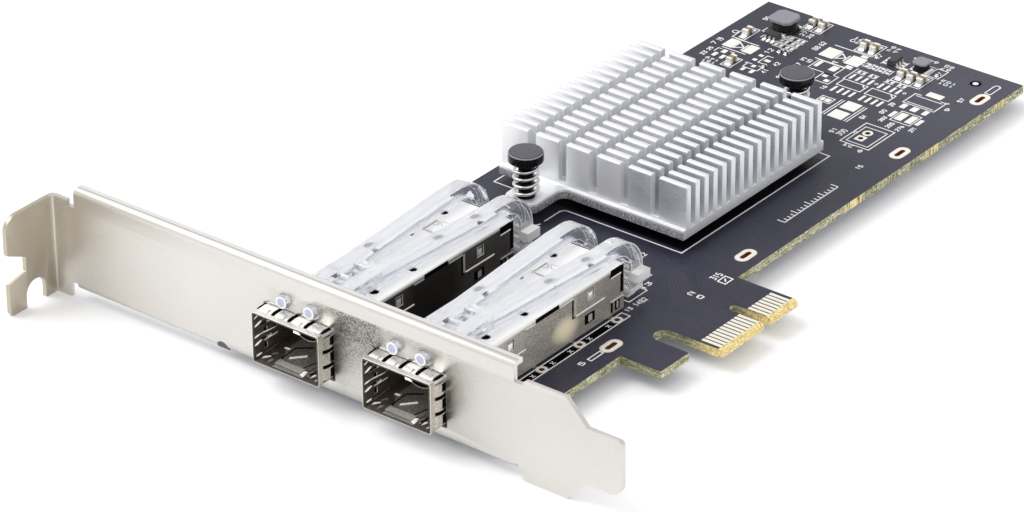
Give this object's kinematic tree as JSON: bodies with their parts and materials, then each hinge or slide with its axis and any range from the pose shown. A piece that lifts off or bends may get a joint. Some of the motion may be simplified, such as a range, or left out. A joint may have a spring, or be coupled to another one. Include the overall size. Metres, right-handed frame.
{
  "type": "network interface card",
  "caption": "Low-profile edge-connector network card: dark board, pluggable-module cages with clear light pipes, pin-fin heatsink, folded full-height slot bracket.",
  "frame": {"origin": "middle of the card's outline seen from above, at the level of the bracket's lowest edge, so the card lies on z = 0", "axes": "+X along the board away from the bracket's face, +Y along the bracket towards its screw tab, +Z out of the component side"},
  "size_m": [0.167, 0.12, 0.021],
  "materials": {
    "bracket_steel": "satin nickel plate on folded sheet steel",
    "solder_mask": "dark satin solder mask over glass-fibre laminate",
    "gold_contact": "bright gold plate",
    "cage_steel": "bright nickel-plated spring steel",
    "collar_steel": "bright plated spring strip",
    "connector_plastic": "moulded black thermoplastic",
    "clear_plastic": "clear moulded polycarbonate",
    "heatsink_aluminium": "satin cut aluminium extrusion",
    "thermal_pad": "soft filled silicone",
    "chip_body": "matte moulded epoxy with tinned leads",
    "crystal_can": "seam-welded metal lid",
    "black_nylon": "satin black moulded nylon",
    "spring_wire": "bright steel wire",
    "screw_steel": "nickel-plated steel",
    "ferrite": "matte sintered ferrite with tinned ends",
    "ceramic": "tan sintered ceramic with tinned ends",
    "resistor_body": "glazed black film on ceramic with tinned ends",
    "led_lens": "clear epoxy over a white base"
  },
  "bodies": {
    "root": {"bracket": "bracket_steel", "bracket_screws": "screw_steel", "ceramic_capacitors": "ceramic", "chip_resistors": "resistor_body", "circuit_board": "solder_mask", "connector_contacts": "gold_contact", "controller_chip": "chip_body", "crystal": "crystal_can", "edge_contacts": "gold_contact", "heatsink": "heatsink_aluminium", "memory_chip": "chip_body", "pin_spring_1": "spring_wire", "pin_spring_2": "spring_wire", "port_1_cage_body": "cage_steel", "port_1_cage_cover": "cage_steel", "port_1_connector": "connector_plastic", "port_1_earth_collar": "collar_steel", "port_1_light_pipe": "clear_plastic", "port_2_cage_body": "cage_steel", "port_2_cage_cover": "cage_steel", "port_2_connector": "connector_plastic", "port_2_earth_collar": "collar_steel", "port_2_light_pipe": "clear_plastic", "power_inductor": "ferrite", "push_pin_1": "black_nylon", "push_pin_2": "black_nylon", "regulator_1": "chip_body", "regulator_2": "chip_body", "small_inductor": "ferrite", "status_leds": "led_lens", "thermal_pad": "thermal_pad"}
  },
  "joints": []
}
